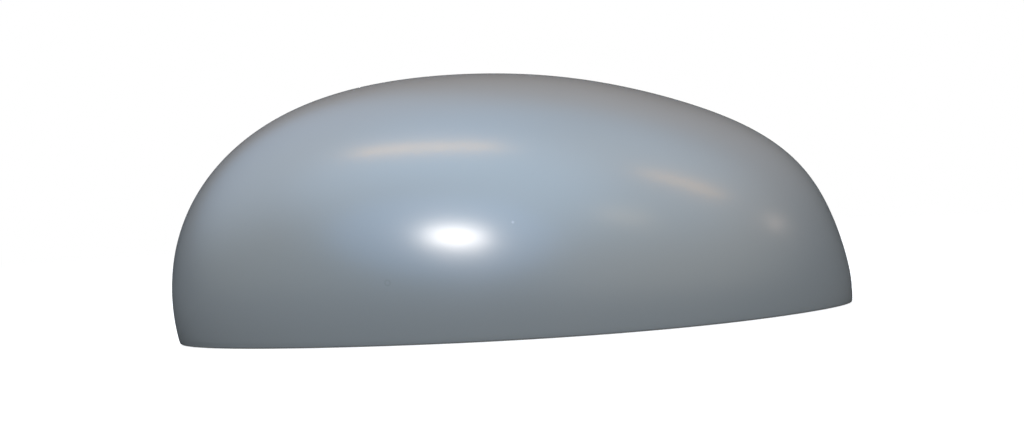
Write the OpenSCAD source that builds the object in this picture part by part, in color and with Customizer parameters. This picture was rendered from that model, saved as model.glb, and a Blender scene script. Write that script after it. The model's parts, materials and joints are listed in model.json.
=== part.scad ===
// Clip-on cover for the upper front of a car's wing mirror, as one moulding.
// The front of the cover faces -Y, +Z is up, and the mirror housing enters from +Y.
// The body is a ball stretched to width, depth and height, tapered towards its outer end
// and squared at its shoulders. The cover is the part of it in front of the rear plane
// and above the lower plane, with a uniform wall.

/* [Body] */
// Overall width, end to end
cover_width = 216; // [190:1:240]
// Depth from the rear rim to the front, before the taper
body_depth = 62; // [54:1:74]
// Height of the crown above the body's axis
crown_rise = 69; // [60:1:80]
// Height of the axis above the lower edge, at the crown
axis_height = 8; // [7:0.5:12]
// Fall of the axis towards the outer end, in degrees
axis_fall = 2.9; // [2:0.1:3.4]
// Share by which the outer end is shorter than the inner end, seen from the crown
end_shift = 0.10; // [0:0.01:0.14]
// Share by which the height tapers towards the outer end
height_taper = 0.11; // [0:0.01:0.16]
// Share by which the depth tapers towards the outer end
depth_taper = 0.08; // [0:0.01:0.14]
// Fullness of the inner shoulder of the arch
inner_shoulder = 0.04; // [0:0.005:0.06]
// Fullness of the outer shoulder of the arch
outer_shoulder = 0.05; // [0:0.005:0.07]
// How much the corners are drawn in, seen from above
plan_slimness = 0.045; // [0:0.005:0.06]
// Fullness of the front, seen from the side
side_fullness = 0.03; // [0:0.005:0.05]

/* [Wall and rim] */
// Thickness of the wall
wall = 2.5; // [2:0.1:3.2]
// Thickness of the thinned lip at the rear rim
lip = 1.3; // [1:0.1:1.6]
// Depth of the thinned lip
lip_depth = 3; // [2:0.5:5]
// Thickness of the ledge inside the lower edge
ledge_thickness = 1.8; // [1.4:0.1:2.4]
// How far the ledge stands in from the wall
ledge_reach = 4; // [3:0.5:6]
// Distance from the rear plane at which the ledge ends
ledge_end = 14; // [10:1:20]

/* [Clips] */
// Width of a clip's tongue
clip_width = 11; // [8:0.5:13]
// Thickness of a clip's tongue
clip_thickness = 1.8; // [1.4:0.1:2.4]
// How far the hook stands out from the tongue
hook_reach = 1.8; // [1.2:0.1:2.4]
// Length of the hook's ramp
hook_ramp = 4; // [3:0.5:6]
// How far the hook's catch face slants back towards the root
hook_slant = 0.9; // [0.5:0.1:1.2]
// Distance of the clips' tips from the rear plane
clip_setback = 7; // [5:0.5:10]
// Distance of the lower clips' tips from the rear plane
lower_clip_setback = 26; // [22:1:30]
// Thickness of a clip's side gussets
gusset_thickness = 1.2; // [1:0.1:1.6]
// Share of a clip's length that its gussets cover
gusset_share = 0.55; // [0.45:0.05:0.65]
// Slope of the gussets, in degrees
gusset_slope = 20; // [15:1:26]

/* [Locating pegs] */
// Radius of a peg's pin
pin_radius = 2.5; // [2:0.1:3]
// Length of a peg's pin, up to its chamfer
pin_length = 8; // [6:0.5:10]
// Length of the chamfer at the pin's tip
pin_chamfer = 1; // [0.6:0.1:1.4]
// Radius of the post that carries the pin
post_radius = 3.6; // [3.2:0.1:4.4]
// Distance of the post's shoulder from the rear plane
post_setback = 26; // [22:1:30]
// Reach of the post's four ribs from its axis, at their top
post_rib_reach = 5.5; // [5:0.5:7]
// How far below the shoulder the ribs end
post_rib_drop = 4; // [3:0.5:8]
// Slope of the ribs, in degrees
rib_slope = 6; // [3:1:9]

/* [Locating fins] */
// Thickness of a fin
fin_thickness = 1.2; // [1:0.1:1.6]
// How far a fin stands in from the wall at the rim
fin_reach = 4; // [3:0.5:6]

/* [Hidden] */

primer_grey = [0.62, 0.66, 0.70];

// Directions on the ball: the clips and fins go round the arch by angle, from the outer end (0)
// over the crown (90) to the inner end (180), and lie forward of the rear plane by clip_forward.
clip_angles = [21, 55, 90, 125, 160];
clip_forward = 27;
fin_angles = [37, 73, 107, 143];
// The lower clips and the pegs lie at these angles left and right of straight ahead, and up.
lower_clip_turns = [-40, 40];
lower_clip_lift = 4;
peg_turns = [-27, 27];
peg_lift = 27;

half_width = cover_width / 2;
// Everything that stands up from the wall starts well outside it and is trimmed by the wall.
root_bury = body_depth;
clearance = 1;

// Steps of the loft: round the arch, along the lower edge, and from the middle to the rim
arch_steps = 54;
edge_steps = 40;
rings = 18;
// The middle of the loft's rings, at this angle up from straight ahead
loft_centre_lift = 32;
// How far the cavity's loft runs on past the rim, so that it opens the rear and the bottom
run_on = 1.1;
$fn = 48;

function direction(turn, lift) = [sin(turn) * cos(lift), -cos(turn) * cos(lift), sin(lift)];
function arch_direction(angle, forward = 0) =
    [cos(angle) * cos(forward), -sin(forward), sin(angle) * cos(forward)];

// How far the ball is swollen in direction s, at its shoulders and corners
function swelling(s) =
    let (shoulder = 4 * s.x ^ 2 * s.z ^ 2)
    1 + inner_shoulder * shoulder * (1 - s.x) / 2
      + outer_shoulder * shoulder ^ 2 * (1 + s.x) / 2
      - 4 * plan_slimness * s.x ^ 2 * s.y ^ 2
      + 4 * side_fullness * s.y ^ 2 * s.z ^ 2;

// The body's skin in direction s, set in by inset from the outer face
function skin(s, inset = 0) =
    let (
        k = swelling(s),
        x = (half_width - inset) * k * s.x - half_width * end_shift * s.x ^ 2,
        y = (body_depth * (1 - depth_taper * s.x) - inset) * k * s.y,
        rise = (crown_rise * (1 - height_taper * s.x) - inset) * k * s.z
    )
    [x, y, axis_height + rise - tan(axis_fall) * x];

// The lift at which the skin meets the lower plane, found by halving
function edge_lift(turn, low = -60, high = 60, tries = 26) =
    let (middle = (low + high) / 2)
    tries == 0 ? middle
    : skin(direction(turn, middle)).z > 0 ? edge_lift(turn, low, middle, tries - 1)
    : edge_lift(turn, middle, high, tries - 1);

function slerp(a, b, t) =
    let (angle = acos(a * b))
    (sin((1 - t) * angle) * a + sin(t * angle) * b) / sin(angle);

// The rim, once round: over the arch from the outer corner to the inner one, then back
// along the lower edge
outer_corner = edge_lift(90);
inner_corner = 180 - edge_lift(-90);
arch_angles = concat(
    [outer_corner],
    [for (i = [0 : arch_steps]) i * 180 / arch_steps],
    [(180 + inner_corner) / 2, inner_corner]
);
arch_rim = [for (a = arch_angles) arch_direction(a)];
lower_rim = [
    for (i = [1 : edge_steps - 1])
        let (turn = -90 + i * 180 / edge_steps)
        direction(turn, edge_lift(turn))
];
rim = concat(arch_rim, lower_rim);
spokes = len(rim);
centre = direction(0, loft_centre_lift);

function ring_point(j, t, inset) = skin(slerp(centre, rim[j], t), inset);
function loft_points(inset, reach) = concat(
    [skin(centre, inset)],
    [for (i = [1 : rings]) for (j = [0 : spokes - 1]) ring_point(j, reach * i / rings, inset)]
);
// Point j of ring i in that list
function at(i, j) = 1 + (i - 1) * spokes + j % spokes;
// Two triangles between the rings i and i + 1, split along the shorter diagonal
function quad(points, i, j) =
    let (a = at(i, j), b = at(i, j + 1), c = at(i + 1, j + 1), d = at(i + 1, j))
    norm(points[a] - points[c]) < norm(points[b] - points[d]) ? [[a, c, d], [a, b, c]] : [[a, b, d], [b, c, d]];
function loft_faces(points) = concat(
    [for (j = [0 : spokes - 1]) [0, at(1, j + 1), at(1, j)]],
    [for (i = [1 : rings - 1]) for (j = [0 : spokes - 1]) each quad(points, i, j)]
);

outer_points = loft_points(0, 1);
front_reach = -min([for (p = outer_points) p.y]);
middle_x = -half_width * end_shift;

// The body as a solid, closed by the rear plane and the lower plane
module outer_body() {
    arch_count = len(arch_rim);
    rear_face = [for (j = [0 : arch_count - 1]) at(rings, j)];
    lower_face = [for (j = [arch_count - 1 : spokes]) at(rings, j)];
    polyhedron(outer_points, concat(loft_faces(outer_points), [rear_face], [lower_face]));
}

// The space inside the wall, run on past the rim and closed behind it
module cavity() {
    behind_and_below = [0, body_depth / 2, -crown_rise / 2];
    points = concat(loft_points(wall, run_on), [behind_and_below]);
    last = len(points) - 1;
    closing = [for (j = [0 : spokes - 1]) [at(rings, j), at(rings, j + 1), last]];
    polyhedron(points, concat(loft_faces(points), closing));
}

// Stands children up on the inner face in direction s. There +Y runs back and +Z points
// outward at outward_angle, counted from +X towards +Z.
module on_wall(s, outward_angle) {
    translate(skin(s, wall)) rotate([0, 90 - outward_angle, 0]) children();
}

// The way that the arch faces at an angle, square to its outline
function arch_outward(angle) =
    let (along = skin(arch_direction(angle + 1)) - skin(arch_direction(angle - 1)))
    atan2(along.z, along.x) - 90;

// Extrudes an outline drawn in Y and Z, centred on X
module plate(thickness, outline) {
    rotate([90, 0, 90]) linear_extrude(thickness, center = true) polygon(outline);
}

// One clip: a tongue with a hook that faces outward, between two gussets
module clip(length) {
    back = -clip_thickness / 2;
    front = clip_thickness / 2;
    plate(clip_width, [
        [-root_bury, back],
        [length, back],
        [length, front],
        [length - hook_ramp, front + hook_reach],
        [length - hook_ramp - hook_slant, front],
        [-root_bury, front]
    ]);
    gusset_top = length * gusset_share;
    gusset_foot = back - tan(gusset_slope) * (gusset_top + root_bury);
    for (side = [-1, 1])
        translate([side * (clip_width - gusset_thickness) / 2, 0, 0])
            plate(gusset_thickness, [[-root_bury, 0], [gusset_top, 0], [gusset_top, back], [-root_bury, gusset_foot]]);
}

module arch_clips() {
    for (angle = clip_angles) {
        s = arch_direction(angle, clip_forward);
        on_wall(s, arch_outward(angle)) clip(-skin(s, wall).y - clip_setback);
    }
}

// These hooks face down, towards the lower edge
module lower_clips() {
    for (turn = lower_clip_turns) {
        s = direction(turn, lower_clip_lift);
        on_wall(s, -90) clip(-skin(s, wall).y - lower_clip_setback);
    }
}

// A locating peg: a ribbed post, and the pin that enters the housing, turned as one
module peg(length) {
    pin_end = length + pin_length;
    rotate([-90, 0, 0])
        rotate_extrude()
            polygon([
                [0, -root_bury],
                [post_radius, -root_bury],
                [post_radius, length],
                [pin_radius, length],
                [pin_radius, pin_end],
                [pin_radius - pin_chamfer, pin_end + pin_chamfer],
                [0, pin_end + pin_chamfer]
            ]);
    rib_top = length - post_rib_drop;
    rib_foot = post_rib_reach + tan(rib_slope) * (rib_top + root_bury);
    for (turn = [0, 90])
        rotate([0, turn, 0])
            plate(gusset_thickness, [
                [-root_bury, -rib_foot],
                [rib_top, -post_rib_reach],
                [rib_top, post_rib_reach],
                [-root_bury, rib_foot]
            ]);
}

module pegs() {
    for (turn = peg_turns) {
        s = direction(turn, peg_lift);
        on_wall(s, 90) peg(-skin(s, wall).y - post_setback);
    }
}

// Low fins along the arch that centre the cover on the housing
module locating_fins() {
    rear = -lip_depth - clearance;
    inside_wall = -body_depth / 2;
    for (angle = fin_angles)
        on_wall(arch_direction(angle), arch_outward(angle))
            plate(fin_thickness, [
                [inside_wall, wall],
                [rear, wall],
                [rear, 0],
                [rear - fin_reach, -fin_reach],
                [inside_wall, -fin_reach]
            ]);
}

// The ledge that stiffens the lower edge, short of the rear plane
module lower_ledge() {
    inner_line = [for (i = [0 : edge_steps])
        let (turn = -90 + i * 180 / edge_steps, p = skin(direction(turn, edge_lift(turn)), wall + ledge_reach))
        [p.x, min(p.y, -clearance)]
    ];
    box = [cover_width + 2 * wall, body_depth];
    translate([0, 0, -clearance])
        linear_extrude(ledge_thickness + clearance)
            difference() {
                translate([middle_x - box.x / 2, -ledge_end - box.y]) square(box);
                polygon(concat(inner_line, [[half_width, body_depth], [2 * middle_x - half_width, body_depth]]));
            }
}

// The thin lip: the wall is cut back from inside over the last stretch before the rear plane
module lip_cut() {
    outline = [for (a = arch_angles) let (p = skin(arch_direction(a), lip)) [p.x, p.z]];
    below = axis_height + wall;
    translate([0, -lip_depth, 0])
        rotate([90, 0, 0])
            mirror([0, 0, 1])
                linear_extrude(lip_depth + clearance)
                    polygon(concat(outline, [[outline[len(outline) - 1].x, -below], [outline[0].x, -below]]));
}

module mirror_cover() {
    color(primer_grey)
        translate([-middle_x, front_reach / 2, 0])
            difference() {
                outer_body();
                difference() {
                    cavity();
                    arch_clips();
                    lower_clips();
                    pegs();
                    locating_fins();
                    lower_ledge();
                }
                lip_cut();
            }
}

mirror_cover();
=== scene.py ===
"""The looks of a wing mirror cover: satin grey primer outside, bare black plastic inside."""

import json
import math

import bmesh
import bpy
from mathutils import Matrix, Vector
from mathutils.bvhtree import BVHTree


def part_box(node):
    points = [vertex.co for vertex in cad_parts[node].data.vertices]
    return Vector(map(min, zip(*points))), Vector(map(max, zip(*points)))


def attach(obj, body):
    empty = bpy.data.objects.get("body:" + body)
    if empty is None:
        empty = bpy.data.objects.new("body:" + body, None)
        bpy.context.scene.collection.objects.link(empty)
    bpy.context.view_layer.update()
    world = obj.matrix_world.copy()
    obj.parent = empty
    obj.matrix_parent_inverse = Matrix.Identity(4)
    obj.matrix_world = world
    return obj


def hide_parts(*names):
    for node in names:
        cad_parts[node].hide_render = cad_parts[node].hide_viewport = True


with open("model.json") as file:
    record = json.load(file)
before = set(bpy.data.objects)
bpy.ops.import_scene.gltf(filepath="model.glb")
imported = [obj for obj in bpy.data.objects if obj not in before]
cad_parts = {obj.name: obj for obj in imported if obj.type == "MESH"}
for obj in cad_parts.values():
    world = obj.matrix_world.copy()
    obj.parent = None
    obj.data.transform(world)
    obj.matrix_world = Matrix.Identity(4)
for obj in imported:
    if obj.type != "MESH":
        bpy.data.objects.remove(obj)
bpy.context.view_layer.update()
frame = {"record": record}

cover_low, cover_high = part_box("mirror_cover")
mounts = {mount["name"]: mount for mount in frame["record"]["mounts"]}

MM = 0.001

# The body, as the part's source has it: a ball stretched to width, depth and height
COVER_WIDTH = cover_high.x - cover_low.x
REAR_Y = cover_high.y
HALF_WIDTH = COVER_WIDTH / 2
BODY_DEPTH = 62 * MM
CROWN_RISE = 69 * MM
AXIS_HEIGHT = 8 * MM
AXIS_FALL = math.radians(2.9)
END_SHIFT = 0.10
HEIGHT_TAPER = 0.11
DEPTH_TAPER = 0.08
INNER_SHOULDER = 0.04
OUTER_SHOULDER = 0.05
PLAN_SLIMNESS = 0.045
SIDE_FULLNESS = 0.03
CENTRE_X = HALF_WIDTH * END_SHIFT
# Keeps the smooth body inside the box of the part's facets
DEPTH_FIT = 0.99998

# The wall, the thinned lip and the ledge inside the lower edge
WALL = 2.5 * MM
LIP = 1.3 * MM
LIP_DEPTH = 3 * MM
LEDGE_THICKNESS = 1.8 * MM
LEDGE_REACH = 4 * MM
LEDGE_END = 14 * MM
EDGE_RADIUS = 0.45 * MM
INNER_EDGE_RADIUS = 0.15 * MM

# The clips, fins and pegs, with their places round the arch and along the lower edge in degrees
CLIP_ANGLES = (21, 55, 90, 125, 160)
CLIP_FORWARD = 27
CLIP_WIDTH = 11 * MM
CLIP_THICKNESS = 1.8 * MM
CLIP_SETBACK = 7 * MM
HOOK_REACH = 1.8 * MM
HOOK_RAMP = 4 * MM
HOOK_SLANT = 0.9 * MM
GUSSET_THICKNESS = 1.2 * MM
GUSSET_SLOPE = math.radians(20)
GUSSET_SHARE = 0.55
LOWER_CLIP_TURNS = (-40, 40)
LOWER_CLIP_LIFT = 4
LOWER_CLIP_SETBACK = 26 * MM
FIN_ANGLES = (37, 73, 107, 143)
FIN_THICKNESS = 1.2 * MM
FIN_REACH = 4 * MM
FIN_START = LIP_DEPTH + 1 * MM
POST_RADIUS = 3.6 * MM
POST_STEPS = 48
POST_RIB_REACH = 5.5 * MM
POST_RIB_DROP = 4 * MM
POST_RIB_SLOPE = math.radians(6)
POST_RIB_TURNS = (0, 90)
PIN_CHAMFER = 1 * MM
MOULDED_RADIUS = 0.25 * MM
MOULDED_STEPS = 2
# How deep the roots of the inner features run into the wall
ROOT_DEPTH = 1.2 * MM

# Steps of the skin's mesh
ARCH_STEPS = 190
EDGE_STEPS = 110
OUTER_ROWS = 90
INNER_ROWS = 70
ROUND_STEPS = 4
RIM_ROW = OUTER_ROWS + ROUND_STEPS
LOFT_CENTRE_LIFT = 32
# The share of the way to the rim that the outer rows take, before its rounding
OUTER_SPAN = 0.99
# How far the lower columns start beside the corners, in degrees
CORNER_GAP = 1
MERGE_DISTANCE = 0.001 * MM
# Edges sharper than these are rounded on the inner features, and shaded as edges on the whole
ROUNDED_FROM = math.radians(30)
EDGED_FROM = math.radians(32)
BISECTIONS = 40
# Where the rim is searched for, in degrees: its lift, its turn near a corner, and its tip forward
LIFT_SEARCH = (-60, 60)
TURN_SEARCH = (45, 90)
TIP_SEARCH = (0, 30)

# Mesh layers: how deep inside a point lies, and the way in which a root runs on into the wall
BARE_DEPTH = "bare_depth"
ROOT_WAY = "root_way"

# The finish
PRIMER = (0.246, 0.257, 0.260, 1)
PRIMER_WARM = (0.254, 0.257, 0.254, 1)
BARE_PLASTIC = (0.034, 0.034, 0.035, 1)
PRIMER_ROUGHNESS = 0.24
PRIMER_WEAR = 0.05
PRIMER_IOR = 1.82
BARE_ROUGHNESS = 0.46
BARE_WEAR = 0.1
# How far in the overspray reaches, how far that drifts, where it starts and how grainy its mist is
OVERSPRAY_REACH = 7 * MM
OVERSPRAY_DRIFT = 6 * MM
OVERSPRAY_START = 0.25
MIST_GRAININESS = 1.5
MIST_THINS = (0.3, 0.75)
# Specks in the primer, where the photograph shows them: a pale nib of dust, and a tiny crater's rim
NIB = Vector((-0.01096, -0.02697, 0.03400))
NIB_RADIUS = 0.65 * MM
NIB_DUST = (0.60, 0.62, 0.64, 1)
NIB_PALENESS = 0.32
CRATER = Vector((-0.04771, -0.02137, 0.01828))
CRATER_RADIUS = 0.75 * MM
CRATER_RIM = 0.45 * MM
CRATER_DARKNESS = 0.11
# Relief, in millimetres
PEEL_HEIGHT = 0.004
GRAIN_HEIGHT = 0.0006
NIB_HEIGHT = 0.03
CRATER_DIP = 0.01
MOULDED_HEIGHT = 0.03
# How fine the noise is in each pattern of the finish, and the middle of its values
MIST_SCALE = 1900
DRIFT_SCALE = 45
TONE_SCALE = 14
PEEL_SCALE = 520
GRAIN_SCALE = 5200
MOULDED_SCALE = 900
WEAR_SCALE = 60
NOISE_MIDDLE = 0.5

# The camera, found from the outline in the photograph
CAMERA_TARGET = Vector((-0.00619, 0.00107, 0.03457))
CAMERA_AZIMUTH = math.radians(-10)
CAMERA_DISTANCE = 0.700
CAMERA_HEIGHT = 0.0645
CAMERA_ROLL = math.radians(-2.96)
CAMERA_LENS = 81.72
SENSOR_WIDTH = 36

# The light tent's patches: azimuth and lift of the middle, the cosines of the angles from it at which
# the patch starts and is full, and its light
TENT_RADIUS = 2.2
TENT_COLUMNS = 48
TENT_ROWS = 24
TENT_LIGHTS = (
    (-100, 60, 0.60, 0.97, (0.45, 0.73, 1.11)),
    (-15, 48, 0.70, 0.98, (0.46, 0.75, 1.09)),
    (40, 60, 0.60, 0.97, (0.14, 0.52, 0.92)),
    (-12, 35, 0.60, 0.97, (0.04, 0.14, 0.25)),
    (85, 50, 0.60, 0.97, (0.12, 0.13, 0.16)),
    (-60, 35, 0.50, 0.95, (0.32, 0.34, 0.30)),
    (40, 30, 0.50, 0.95, (0.60, 0.58, 0.51)),
    (0, 90, 0.00, 0.90, (0.37, 0.18, 0.01)),
)

# The floor, the card on it and the surroundings
WHITE = (1, 1, 1, 1)
FLOOR_SIZE = 8
FLOOR_GAP = 0.2 * MM
FLOOR_PAINT = (0.55, 0.55, 0.55, 1)
FLOOR_GLOW = 0.70
# How far from the cover the floor starts to turn pure white, and where it is
FLOOR_FADE = (0.25, 0.6)
# What the floor gives back to the cover
FLOOR_BOUNCE = (0.10, 0.10, 0.09, 1)
CARD_PAINT = (0.04, 0.04, 0.04, 1)
CARD_SEGMENTS = 64
WORLD_LIGHT = 0.1

# Lamps: the ways to both ends, width, distance, light, and the point of the cover that they are aimed at
HIGHLIGHT = (-0.0284, -0.0251, 0.0306)
LAMPS = (
    ("flash", (-21.7, 21.5), (-9.3, 21.5), 0.072, 0.9, (47.5, 44, 41), HIGHLIGHT),
    ("ceiling_tube", (-65, 63), (15, 71), 0.10, 1.7, (8.3, 4.1, 0), (-0.034, -0.015, 0.060)),
    ("side_tube", (56, 48.5), (74.5, 30.5), 0.09, 1.7, (5.0, 2.4, 0.2), (0.040, -0.012, 0.050)),
    ("side_bulb", (85.5, 17.2), (88, 16), 0.10, 1.7, (8.5, 6.6, 5.3), (0.068, -0.007, 0.036)),
    ("far_bulb", (26, 31), (41, 26.5), 0.13, 1.7, (2.2, 1.6, 0.8), (0.022, -0.023, 0.040)),
)
# A wide soft lamp round the flash, which only the sheen shows
SHEEN_LAMP = ("sheen_lamp", (-48, 20), (12, 20), 0.55, 0.95, (0.15, 0.40, 0.85), HIGHLIGHT)
# A soft lamp behind, opposite the camera, so that the inside can be made out; it leaves no sheen
BACK_LAMP = ("back_lamp", (162, 12), (178, 12), 0.4, 1.3, (34, 34, 34), (0, 0.02, 0.03))


# The skin of the body

def direction(turn, lift):
    """A unit vector, turned from straight ahead (-Y) towards +X and lifted towards +Z, in degrees."""
    turn, lift = math.radians(turn), math.radians(lift)
    return Vector((math.sin(turn) * math.cos(lift), -math.cos(turn) * math.cos(lift), math.sin(lift)))


def arch_direction(angle, forward=0):
    """A unit vector round the arch, from the outer end (0) over the crown (90), tipped forward."""
    angle, forward = math.radians(angle), math.radians(forward)
    spread = math.cos(forward)
    return Vector((math.cos(angle) * spread, -math.sin(forward), math.sin(angle) * spread))


def arch_angle(s):
    """The angle round the arch, in degrees, at which s points."""
    return math.degrees(math.atan2(s.z, s.x))


def swelling(s):
    """The ball's stretch in direction s: full at the shoulders and in side view, slim in plan."""
    shoulder = 4 * s.x ** 2 * s.z ** 2
    return (
        1
        + INNER_SHOULDER * shoulder * (1 - s.x) / 2
        + OUTER_SHOULDER * shoulder ** 2 * (1 + s.x) / 2
        - 4 * PLAN_SLIMNESS * s.x ** 2 * s.y ** 2
        + 4 * SIDE_FULLNESS * s.y ** 2 * s.z ** 2
    )


def skin(s, inset=0.0):
    """The point of the skin in direction s, set in from the outer face."""
    k = swelling(s)
    x = (HALF_WIDTH - inset) * k * s.x - HALF_WIDTH * END_SHIFT * s.x ** 2
    y = (BODY_DEPTH * (1 - DEPTH_TAPER * s.x) - inset) * k * s.y * DEPTH_FIT
    rise = (CROWN_RISE * (1 - HEIGHT_TAPER * s.x) - inset) * k * s.z
    z = AXIS_HEIGHT + rise - math.tan(AXIS_FALL) * x
    return Vector((x + CENTRE_X, y + REAR_Y, z))


def solve(measure, low, high):
    """Where measure, which grows from low to high, passes zero."""
    for _ in range(BISECTIONS):
        middle = (low + high) / 2
        if measure(middle) > 0:
            high = middle
        else:
            low = middle
    return low


def edge_lift(turn, inset=0.0, level=0.0):
    """The lift at which the skin, at that turn, is as high as level."""
    return solve(lambda lift: skin(direction(turn, lift), inset).z - level, *LIFT_SEARCH)


def outer_lower(turn):
    return direction(turn, edge_lift(turn))


def inner_lower(turn, level):
    return direction(turn, edge_lift(turn, WALL, level))


def inner_turn(y, side=1):
    """The turn at which the inner face's lower edge is as far back as y."""
    return side * solve(lambda turn: skin(inner_lower(side * turn, 0), WALL).y - y, *TURN_SEARCH)


def corner_turn(side):
    return inner_turn(REAR_Y - LIP_DEPTH, side)


class Column:
    """One spoke of the skin: the ways to its outer and inner rim, and the section of the rim between.

    round_y and round_z say whether its outer edge is rounded to the rear plane and to the lower one.
    """

    def __init__(self, outer, inner, section, round_y, round_z):
        self.outer = outer
        self.inner = inner
        self.section = section
        self.round_y = round_y
        self.round_z = round_z


def lip_section(rim):
    """The lip's section, by how far in from the outer face and how far forward of the rear plane."""
    steps = (
        (LIP - INNER_EDGE_RADIUS, 0),
        (LIP, INNER_EDGE_RADIUS),
        (LIP, LIP_DEPTH),
        (WALL - INNER_EDGE_RADIUS, LIP_DEPTH),
    )
    section = []
    for inset, depth in steps:
        point = skin(rim, inset)
        point.y = REAR_Y - depth
        section.append(point)
    return section


def arch_column(angle):
    rim = arch_direction(angle)
    step_y = REAR_Y - LIP_DEPTH - INNER_EDGE_RADIUS
    forward = solve(lambda tip: step_y - skin(arch_direction(angle, tip), WALL).y, *TIP_SEARCH)
    return Column(rim, arch_direction(angle, forward), lip_section(rim), True, False)


def corner_column(side):
    rim = outer_lower(side * 90)
    section = lip_section(rim)
    for point in section:
        point.z = 0
    return Column(rim, inner_lower(corner_turn(side), INNER_EDGE_RADIUS), section, True, True)


def lower_column(turn, with_ledge):
    """A spoke to the lower edge. Its section goes by how far in from the outer face, and how high."""
    rim = outer_lower(turn)
    if with_ledge:
        reach = WALL + LEDGE_REACH
        steps = (
            (reach - INNER_EDGE_RADIUS, 0),
            (reach, INNER_EDGE_RADIUS),
            (reach, LEDGE_THICKNESS - INNER_EDGE_RADIUS),
            (reach - INNER_EDGE_RADIUS, LEDGE_THICKNESS),
        )
        inner = inner_lower(turn, LEDGE_THICKNESS)
    else:
        steps = (
            (LIP - INNER_EDGE_RADIUS, 0),
            (LIP, 0),
            ((LIP + WALL) / 2, 0),
            (WALL - INNER_EDGE_RADIUS, 0),
        )
        inner = inner_lower(turn, INNER_EDGE_RADIUS)
    section = []
    for inset, height in steps:
        point = skin(rim, inset)
        point.z = height
        section.append(point)
    return Column(rim, inner, section, False, True)


def columns():
    """Once round the rim: over the arch from the outer corner to the inner one, then back below."""
    first = arch_angle(outer_lower(90))
    last = arch_angle(outer_lower(-90)) % 360
    out = [corner_column(1)]
    for i in range(1, ARCH_STEPS):
        out.append(arch_column(first + (last - first) * i / ARCH_STEPS))
    out.append(corner_column(-1))
    start = corner_turn(-1) + CORNER_GAP
    end = corner_turn(1) - CORNER_GAP
    ledge_turn = inner_turn(REAR_Y - LEDGE_END)
    for i in range(EDGE_STEPS + 1):
        turn = start + (end - start) * i / EDGE_STEPS
        following = turn + (end - start) / EDGE_STEPS
        with_ledge = abs(turn) < ledge_turn
        out.append(lower_column(turn, with_ledge))
        if with_ledge != (abs(following) < ledge_turn):
            out.append(lower_column(turn, not with_ledge))
    return out


def between(a, b, share):
    """The direction a share of the way from a to b, and just a at 0, so that all spokes meet there."""
    return a.slerp(b, share) if share > 0 else a.copy()


def column_points(column, centre):
    """The points of one spoke, out over the outer face, round the rim, and back over the inner face."""
    points = []
    for i in range(OUTER_ROWS):
        points.append(skin(between(centre, column.outer, i / OUTER_ROWS * OUTER_SPAN)))
    for i in range(ROUND_STEPS + 1):
        angle = math.pi / 2 * i / ROUND_STEPS
        point = skin(column.outer, EDGE_RADIUS * (1 - math.cos(angle)))
        drop = EDGE_RADIUS * (1 - math.sin(angle))
        if column.round_y:
            point.y = REAR_Y - drop
        if column.round_z:
            point.z = drop
        points.append(point)
    points += column.section
    for i in range(INNER_ROWS + 1):
        points.append(skin(between(centre, column.inner, 1 - i / INNER_ROWS), WALL))
    return points


def depths_inside(points):
    """How far each point of a spoke lies inside the rim, measured along the skin; 0 outside."""
    run = 0.0
    depths = []
    for i, point in enumerate(points):
        if i > RIM_ROW:
            run += (point - points[i - 1]).length
        depths.append(run)
    return depths


def cover_skin():
    """The whole wall as one closed skin: a grid wrapped round it, its seam and its two poles merged."""
    spokes = columns()
    centre = direction(0, LOFT_CENTRE_LIFT)
    points = [column_points(column, centre) for column in spokes]
    depths = [depths_inside(line) for line in points]
    count, rows = len(spokes), len(points[0])
    bm = bmesh.new()
    bare = bm.verts.layers.float.new(BARE_DEPTH)
    bmesh.ops.create_grid(bm, x_segments=count, y_segments=rows - 1, size=0.5)
    for vert in bm.verts:
        j = round((vert.co.x + 0.5) * count) % count
        i = round((vert.co.y + 0.5) * (rows - 1))
        vert.co = points[j][i]
        vert[bare] = depths[j][i]
    bmesh.ops.remove_doubles(bm, verts=bm.verts, dist=MERGE_DISTANCE)
    bmesh.ops.recalc_face_normals(bm, faces=bm.faces)
    for face in bm.faces:
        face.smooth = True
    return bm


# Features inside

def plate(outline, thickness):
    """A plate centred on X. Its outline is of (y, z), or for a root of (y, z, way in y, way in z)."""
    bm = bmesh.new()
    root = bm.verts.layers.float_vector.new(ROOT_WAY)
    verts = []
    for y, z, *way in outline:
        vert = bm.verts.new((-thickness / 2, y, z))
        vert[root] = Vector((0, *way)).normalized() if way else Vector()
        verts.append(vert)
    face = bm.faces.new(verts)
    grown = bmesh.ops.extrude_face_region(bm, geom=[face])
    moved = [item for item in grown["geom"] if isinstance(item, bmesh.types.BMVert)]
    bmesh.ops.translate(bm, verts=moved, vec=(thickness, 0, 0))
    return bm


def sink_roots(bm, matrix, wall_tree):
    """Puts the feature in its place, and runs each root on its way until it ends inside the wall."""
    bmesh.ops.transform(bm, matrix=matrix, verts=bm.verts)
    root = bm.verts.layers.float_vector[ROOT_WAY]
    turn = matrix.to_3x3()
    for vert in bm.verts:
        if vert[root].length > 0:
            way = turn @ vert[root]
            vert.co = wall_tree.ray_cast(vert.co, way)[0] + way * ROOT_DEPTH
    bmesh.ops.recalc_face_normals(bm, faces=bm.faces)


def round_edges(bm):
    """Rounds a feature's edges as a mould leaves them, but not the ends of its roots."""
    root = bm.verts.layers.float_vector[ROOT_WAY]
    sharp = []
    for edge in bm.edges:
        inside_wall = all(vert[root].length > 0 for vert in edge.verts)
        if edge.calc_face_angle(0) > ROUNDED_FROM and not inside_wall:
            sharp.append(edge)
    bmesh.ops.bevel(
        bm, geom=sharp, offset=MOULDED_RADIUS, offset_type="OFFSET", affect="EDGES",
        segments=MOULDED_STEPS, profile=0.5, material=-1, clamp_overlap=True)


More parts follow.
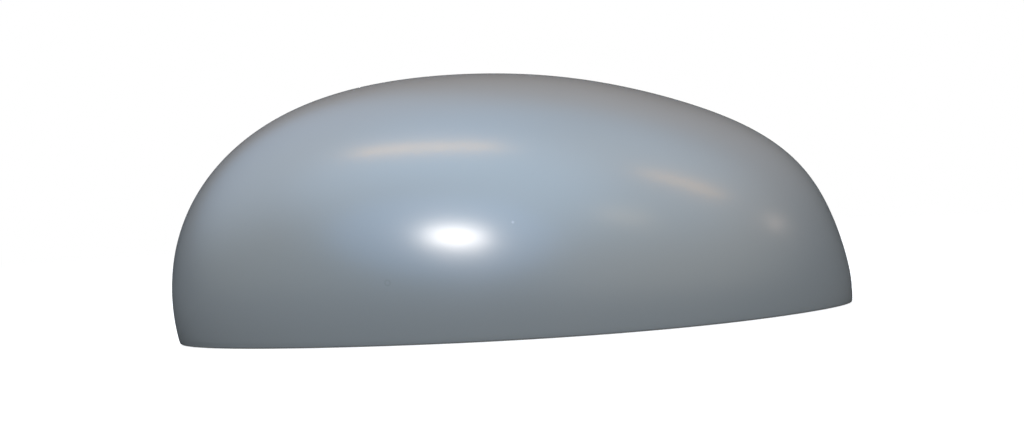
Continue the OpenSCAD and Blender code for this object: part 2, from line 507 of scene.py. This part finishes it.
def wall_matrix(s, outward):
    """Places a feature on the inner face in direction s, its +Z turned to the angle outward."""
    return Matrix.Translation(skin(s, WALL)) @ Matrix.Rotation(math.radians(90 - outward), 4, "Y")


def arch_outward(angle):
    """The angle in which the arch faces, square to its run."""
    return arch_angle(skin(arch_direction(angle + 1)) - skin(arch_direction(angle - 1))) - 90


def clip_parts(length, matrix, wall_tree):
    """One clip: a tongue with a hook that faces outward, between two gussets."""
    back, front = -CLIP_THICKNESS / 2, CLIP_THICKNESS / 2
    top = length * GUSSET_SHARE
    tongue = plate(
        [
            (top, back, -1, 0),
            (length, back),
            (length, front),
            (length - HOOK_RAMP, front + HOOK_REACH),
            (length - HOOK_RAMP - HOOK_SLANT, front),
            (top, front, -1, 0),
        ],
        CLIP_WIDTH)
    parts = [tongue]
    for side in (-1, 1):
        gusset = plate(
            [
                (top, 0, -1, 0),
                (top, 0),
                (top, back),
                (top, back, -1, -math.tan(GUSSET_SLOPE)),
            ],
            GUSSET_THICKNESS)
        aside = side * (CLIP_WIDTH - GUSSET_THICKNESS) / 2
        bmesh.ops.translate(gusset, verts=gusset.verts, vec=(aside, 0, 0))
        parts.append(gusset)
    for bm in parts:
        sink_roots(bm, matrix, wall_tree)
        round_edges(bm)
    return parts


def arch_clips(wall_tree):
    parts = []
    for angle in CLIP_ANGLES:
        s = arch_direction(angle, CLIP_FORWARD)
        length = REAR_Y - skin(s, WALL).y - CLIP_SETBACK
        parts += clip_parts(length, wall_matrix(s, arch_outward(angle)), wall_tree)
    return parts


def lower_clips(wall_tree):
    parts = []
    for turn in LOWER_CLIP_TURNS:
        s = direction(turn, LOWER_CLIP_LIFT)
        length = REAR_Y - skin(s, WALL).y - LOWER_CLIP_SETBACK
        parts += clip_parts(length, wall_matrix(s, -90), wall_tree)
    return parts


def peg_post(radius, shoulder, pin_end, place, wall_tree):
    """A locating peg's post and pin, turned about Y from the shoulder between them."""
    soft = MOULDED_RADIUS
    profile = [
        (POST_RADIUS, shoulder - 2 * soft),
        (POST_RADIUS, shoulder - soft),
        (POST_RADIUS - soft, shoulder),
        (radius + soft, shoulder),
        (radius, shoulder + soft),
        (radius, pin_end),
        (radius - PIN_CHAMFER, pin_end + PIN_CHAMFER),
        (0, pin_end + PIN_CHAMFER),
    ]
    post = bmesh.new()
    root = post.verts.layers.float_vector.new(ROOT_WAY)
    verts = [post.verts.new((r, along, 0)) for r, along in profile]
    verts[0][root] = Vector((0, -1, 0))
    edges = [post.edges.new(pair) for pair in zip(verts, verts[1:])]
    bmesh.ops.spin(
        post, geom=verts + edges, cent=(0, 0, 0), axis=(0, 1, 0), dvec=(0, 0, 0), angle=math.tau,
        steps=POST_STEPS, use_merge=True, use_duplicate=False)
    bmesh.ops.remove_doubles(post, verts=post.verts, dist=MERGE_DISTANCE)
    sink_roots(post, place, wall_tree)
    bmesh.ops.holes_fill(post, edges=post.edges, sides=0)
    bmesh.ops.recalc_face_normals(post, faces=post.faces)
    for face in post.faces:
        face.smooth = True
    return post


def peg_rib(place, wall_tree):
    """A rib right across a locating peg's post, so that it stands out on two sides."""
    top = -POST_RIB_DROP
    spread = math.tan(POST_RIB_SLOPE)
    rib = plate(
        [
            (top, -POST_RIB_REACH, -1, -spread),
            (top, -POST_RIB_REACH),
            (top, POST_RIB_REACH),
            (top, POST_RIB_REACH, -1, spread),
            (top, 0, -1, 0),
        ],
        GUSSET_THICKNESS)
    sink_roots(rib, place, wall_tree)
    round_edges(rib)
    return rib


def peg_parts(mount, wall_tree):
    """One locating peg, with its pin on the mount that the frame gives, and two crossed ribs."""
    radius = mount["dims"]["r_mm"] * MM
    length = mount["dims"]["length_mm"] * MM
    x, y, z = mount["pos_m"]
    shoulder = y - length / 2
    parts = [peg_post(radius, shoulder, y + length / 2, Matrix.Translation((x, 0, z)), wall_tree)]
    for turn in POST_RIB_TURNS:
        place = Matrix.Translation((x, shoulder, z)) @ Matrix.Rotation(math.radians(turn), 4, "Y")
        parts.append(peg_rib(place, wall_tree))
    return parts


def fin_parts(wall_tree):
    """Low fins along the arch that centre the cover on the housing."""
    parts = []
    for angle in FIN_ANGLES:
        place = wall_matrix(arch_direction(angle), arch_outward(angle))
        inner = -FIN_START - FIN_REACH
        corner = place @ Vector((0, inner, -FIN_REACH))
        run = wall_tree.ray_cast(corner, Vector((0, -1, 0)))[3]
        bm = plate(
            [
                (inner, -FIN_REACH, 1, 1),
                (inner, -FIN_REACH),
                (inner - run / 2, -FIN_REACH),
                (inner - run / 2, -FIN_REACH, -1, 0),
                (inner - run * 3 / 4, -FIN_REACH, 0, 1),
                (inner - run / 2, -FIN_REACH, 0, 1),
                (inner - run / 4, -FIN_REACH, 0, 1),
                (inner, -FIN_REACH, 0, 1),
            ],
            FIN_THICKNESS)
        sink_roots(bm, place, wall_tree)
        round_edges(bm)
        parts.append(bm)
    return parts


def join(target, parts):
    """Adds each feature to target as a closed skin of its own, in bare plastic, and frees it."""
    bare = target.verts.layers.float[BARE_DEPTH]
    for bm in parts:
        copy = {}
        for vert in bm.verts:
            new = target.verts.new(vert.co)
            new[bare] = BODY_DEPTH
            copy[vert] = new
        for face in bm.faces:
            target.faces.new([copy[vert] for vert in face.verts]).smooth = face.smooth
        bm.free()


def build_cover():
    bm = cover_skin()
    wall_tree = BVHTree.FromBMesh(bm)
    parts = arch_clips(wall_tree) + lower_clips(wall_tree) + fin_parts(wall_tree)
    for name in ("peg_inner", "peg_outer"):
        parts += peg_parts(mounts[name], wall_tree)
    join(bm, parts)
    for edge in bm.edges:
        edge.smooth = edge.calc_face_angle(0) < EDGED_FROM
    mesh = bpy.data.meshes.new("cover_moulding")
    bm.to_mesh(mesh)
    bm.free()
    cover = bpy.data.objects.new("cover_moulding", mesh)
    bpy.context.scene.collection.objects.link(cover)
    return cover


# Materials

class Socket:
    """A node's output socket, so that an expression on it adds Math nodes."""

    def __init__(self, tree, link):
        self.tree = tree
        self.link = link

    def math(self, operation, *values):
        return self.tree.node("ShaderNodeMath", {"operation": operation}, dict(enumerate(values)))

    def __add__(self, other):
        return self.math("ADD", self, other)

    def __radd__(self, other):
        return self.math("ADD", other, self)

    def __sub__(self, other):
        return self.math("SUBTRACT", self, other)

    def __rsub__(self, other):
        return self.math("SUBTRACT", other, self)

    def __mul__(self, other):
        return self.math("MULTIPLY", self, other)

    def __rmul__(self, other):
        return self.math("MULTIPLY", other, self)

    def __truediv__(self, other):
        return self.math("DIVIDE", self, other)

    def __rtruediv__(self, other):
        return self.math("DIVIDE", other, self)

    def maximum(self, other):
        return self.math("MAXIMUM", self, other)

    def step(self, low, high):
        """Rises smoothly from 0 at low to 1 at high."""
        return self.tree.node(
            "ShaderNodeMapRange", {"interpolation_type": "SMOOTHSTEP"},
            {"Value": self, "From Min": low, "From Max": high, "To Min": 0.0, "To Max": 1.0})


class Nodes:
    """The node tree of one material or world."""

    def __init__(self, tree):
        self.tree = tree
        tree.nodes.clear()

    def node(self, kind, settings=None, inputs=None, output=0):
        """Adds a node. An input that is a Socket is linked, and any other is set as a value."""
        node = self.tree.nodes.new(kind)
        for name, value in (settings or {}).items():
            setattr(node, name, value)
        for key, value in (inputs or {}).items():
            if isinstance(value, Socket):
                self.tree.links.new(value.link, node.inputs[key])
            else:
                node.inputs[key].default_value = value
        return Socket(self, node.outputs[output]) if node.outputs else None

    def place(self):
        """Object coordinates."""
        return self.node("ShaderNodeTexCoord", output="Object")

    def vector_math(self, operation, *values, output="Vector"):
        settings = {"operation": operation}
        return self.node("ShaderNodeVectorMath", settings, dict(enumerate(values)), output)

    def mix_colour(self, factor, first, second):
        """Mixes two colours. The Mix node's colours are its sockets 6 and 7, and 2 is their mixture."""
        settings = {"data_type": "RGBA"}
        return self.node("ShaderNodeMix", settings, {0: factor, 6: first, 7: second}, output=2)

    def mix_shader(self, factor, first, second):
        return self.node("ShaderNodeMixShader", None, {0: factor, 1: first, 2: second})

    def diffuse(self, colour):
        return self.node("ShaderNodeBsdfDiffuse", None, {"Color": colour})

    def emission(self, colour, strength=1.0):
        return self.node("ShaderNodeEmission", None, {"Color": colour, "Strength": strength})

    def background(self, colour, strength):
        return self.node("ShaderNodeBackground", None, {"Color": colour, "Strength": strength})

    def noise(self, vector, scale, detail=2.0, roughness=0.5):
        return self.node(
            "ShaderNodeTexNoise", None,
            {"Vector": vector, "Scale": scale, "Detail": detail, "Roughness": roughness})

    def seen_directly(self):
        """1 for what the camera sees, straight, in gloss or through glass."""
        camera = self.node("ShaderNodeLightPath", output="Is Camera Ray")
        glossy = self.node("ShaderNodeLightPath", output="Is Glossy Ray")
        through = self.node("ShaderNodeLightPath", output="Is Transmission Ray")
        return camera.maximum(glossy).maximum(through)

    def surface(self, shader):
        self.node("ShaderNodeOutputMaterial", None, {"Surface": shader})


def new_material(name):
    material = bpy.data.materials.new(name)
    material.use_nodes = True
    return material, Nodes(material.node_tree)


def primed_plastic():
    material, nodes = new_material("grey primer on black plastic")
    place = nodes.place()
    depth = nodes.node("ShaderNodeAttribute", {"attribute_name": BARE_DEPTH}, output="Fac")

    # Overspray: solid primer on the rim, then a mist that thins out over the first millimetres inside
    mist_grain = nodes.noise(place, scale=MIST_SCALE, detail=3, roughness=0.7)
    mist_drift = nodes.noise(place, scale=DRIFT_SCALE)
    reach = (depth - mist_drift * OVERSPRAY_DRIFT) / OVERSPRAY_REACH + OVERSPRAY_START
    bare = (reach + (mist_grain - NOISE_MIDDLE) * MIST_GRAININESS).step(*MIST_THINS)

    nib = 1 - nodes.vector_math("DISTANCE", place, NIB, output="Value").step(0.0, NIB_RADIUS)
    crater_away = nodes.vector_math("DISTANCE", place, CRATER, output="Value")
    from_rim = (crater_away - CRATER_RADIUS).maximum(CRATER_RADIUS - crater_away)
    crater = 1 - from_rim.step(0.0, CRATER_RIM)

    tone = nodes.noise(place, scale=TONE_SCALE, detail=3)
    primer = nodes.mix_colour(tone, PRIMER, PRIMER_WARM)
    primer = nodes.mix_colour(nib * NIB_PALENESS, primer, NIB_DUST)
    primer = nodes.mix_colour(crater * CRATER_DARKNESS, primer, BARE_PLASTIC)
    colour = nodes.mix_colour(bare, primer, BARE_PLASTIC)

    peel = nodes.noise(place, scale=PEEL_SCALE, roughness=0.4)
    grain = nodes.noise(place, scale=GRAIN_SCALE, roughness=0.6)
    moulded = nodes.noise(place, scale=MOULDED_SCALE, detail=4, roughness=0.7)
    paint_height = peel * PEEL_HEIGHT + grain * GRAIN_HEIGHT + nib * NIB_HEIGHT - crater * CRATER_DIP
    height = paint_height * (1 - bare) + moulded * bare * MOULDED_HEIGHT
    bump = nodes.node("ShaderNodeBump", None, {"Height": height, "Strength": 1.0, "Distance": 1 * MM})

    wear = nodes.noise(place, scale=WEAR_SCALE, detail=3) - NOISE_MIDDLE
    primer_roughness = PRIMER_ROUGHNESS + wear * PRIMER_WEAR
    bare_roughness = BARE_ROUGHNESS + wear * BARE_WEAR
    roughness = primer_roughness * (1 - bare) + bare_roughness * bare
    nodes.surface(nodes.node(
        "ShaderNodeBsdfPrincipled", None,
        {"Base Color": colour, "Roughness": roughness, "Normal": bump, "IOR": PRIMER_IOR}))
    return material


def floor_paint():
    """A pale floor: white to the eye where light falls, greyer in shadow, and clear from below."""
    material, nodes = new_material("pale studio floor")
    away = nodes.vector_math("LENGTH", nodes.place(), output="Value")
    lit = nodes.diffuse(FLOOR_PAINT)
    glow = nodes.emission(WHITE, FLOOR_GLOW)
    near_white = nodes.node("ShaderNodeAddShader", None, {0: lit, 1: glow})
    white = nodes.mix_shader(away.step(*FLOOR_FADE), near_white, nodes.emission(WHITE))
    from_above = nodes.mix_shader(nodes.seen_directly(), nodes.diffuse(FLOOR_BOUNCE), white)
    clear = nodes.node("ShaderNodeBsdfTransparent")
    below = nodes.node("ShaderNodeNewGeometry", output="Backfacing")
    nodes.surface(nodes.mix_shader(below, from_above, clear))
    return material


def dark_card():
    material, nodes = new_material("dark card")
    nodes.surface(nodes.diffuse(CARD_PAINT))
    return material


def light_patches(nodes, way, patches):
    """Adds up soft patches of light, by the cosine of the angle between way and a patch's middle."""
    total = (0, 0, 0)
    for azimuth, lift, start, full, colour in patches:
        cosine = nodes.vector_math("DOT_PRODUCT", way, direction(azimuth, lift), output="Value")
        total = nodes.vector_math("MULTIPLY_ADD", colour, cosine.step(start, full), total)
    return total


def tent_light():
    """A light tent: cool from high in front and at the sides, nearly neutral lower down, warm on top."""
    material, nodes = new_material("light tent")
    way = nodes.vector_math("NORMALIZE", nodes.place())
    nodes.surface(nodes.emission(light_patches(nodes, way, TENT_LIGHTS)))
    return material


# Studio

def stage_object(name, bm, material):
    mesh = bpy.data.meshes.new(name)
    bm.to_mesh(mesh)
    bm.free()
    mesh.materials.append(material)
    obj = bpy.data.objects.new(name, mesh)
    bpy.context.scene.collection.objects.link(obj)
    return obj


def add_floor():
    bm = bmesh.new()
    bmesh.ops.create_grid(bm, x_segments=1, y_segments=1, size=FLOOR_SIZE)
    bmesh.ops.translate(bm, verts=bm.verts, vec=(0, 0, -FLOOR_GAP))
    stage_object("studio_floor", bm, floor_paint())


def add_tent():
    bm = bmesh.new()
    bmesh.ops.create_uvsphere(bm, u_segments=TENT_COLUMNS, v_segments=TENT_ROWS, radius=TENT_RADIUS)
    below = [vert for vert in bm.verts if vert.co.z < -FLOOR_GAP]
    bmesh.ops.delete(bm, geom=below, context="VERTS")
    tent = stage_object("light_tent", bm, tent_light())
    tent.visible_camera = False
    tent.visible_shadow = False


def add_table_card():
    """A dark card on the floor that only the cover's sheen sees, as on a photographer's dark table."""
    bm = bmesh.new()
    bmesh.ops.create_circle(bm, cap_ends=True, segments=CARD_SEGMENTS, radius=TENT_RADIUS)
    bmesh.ops.translate(bm, verts=bm.verts, vec=(0, 0, -FLOOR_GAP / 2))
    card = stage_object("dark_table_card", bm, dark_card())
    card.visible_camera = False
    card.visible_diffuse = False
    card.visible_shadow = False
    card.visible_transmission = False


def add_lamp(name, start, end, width, distance, radiance, target):
    """A lamp with the shape of a bar, from the way start to the way end as seen from the target."""
    start, end = [direction(*way) * distance for way in (start, end)]
    middle = (start + end) / 2
    along = (end - start).normalized()
    back = (middle - along * middle.dot(along)).normalized()
    turn = Matrix((along, back.cross(along), back)).transposed().to_4x4()
    lamp = bpy.data.lights.new(name, "AREA")
    lamp.shape = "RECTANGLE"
    lamp.size = (end - start).length
    lamp.size_y = width
    strongest = max(radiance)
    lamp.color = [part / strongest for part in radiance]
    lamp.energy = strongest * math.pi * lamp.size * lamp.size_y
    obj = bpy.data.objects.new(name, lamp)
    bpy.context.scene.collection.objects.link(obj)
    obj.matrix_world = Matrix.Translation(Vector(target) + middle) @ turn
    obj.visible_camera = False
    return obj


def add_lamps():
    for lamp in LAMPS:
        add_lamp(*lamp)
    sheen = add_lamp(*SHEEN_LAMP)
    sheen.data.shape = "ELLIPSE"
    sheen.visible_diffuse = False
    add_lamp(*BACK_LAMP).visible_glossy = False


def set_world():
    """White to the eye and in gloss, and only a dim light on everything else."""
    world = bpy.data.worlds.new("studio")
    world.use_nodes = True
    bpy.context.scene.world = world
    nodes = Nodes(world.node_tree)
    dim = nodes.background(WHITE, WORLD_LIGHT)
    surface = nodes.mix_shader(nodes.seen_directly(), dim, nodes.background(WHITE, 1.0))
    nodes.node("ShaderNodeOutputWorld", None, {"Surface": surface})


def add_camera():
    camera = bpy.data.objects.new("camera", bpy.data.cameras.new("camera"))
    bpy.context.scene.collection.objects.link(camera)
    camera.data.lens = CAMERA_LENS
    camera.data.sensor_width = SENSOR_WIDTH
    camera.data.sensor_fit = "HORIZONTAL"
    back = Vector((math.sin(CAMERA_AZIMUTH), -math.cos(CAMERA_AZIMUTH), 0))
    place = CAMERA_TARGET + back * CAMERA_DISTANCE
    place.z = CAMERA_HEIGHT
    ahead = (CAMERA_TARGET - place).normalized()
    right = ahead.cross(Vector((0, 0, 1))).normalized()
    up = right.cross(ahead)
    roll = Matrix.Rotation(CAMERA_ROLL, 4, "Z")
    turn = Matrix((right, up, -ahead)).transposed().to_4x4()
    camera.matrix_world = Matrix.Translation(place) @ turn @ roll
    bpy.context.scene.camera = camera


add_camera()
cover = build_cover()
cover.data.materials.append(primed_plastic())
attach(cover, "root")
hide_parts("mirror_cover")
add_floor()
add_tent()
add_table_card()
add_lamps()
set_world()
bpy.context.scene.view_settings.view_transform = "Standard"
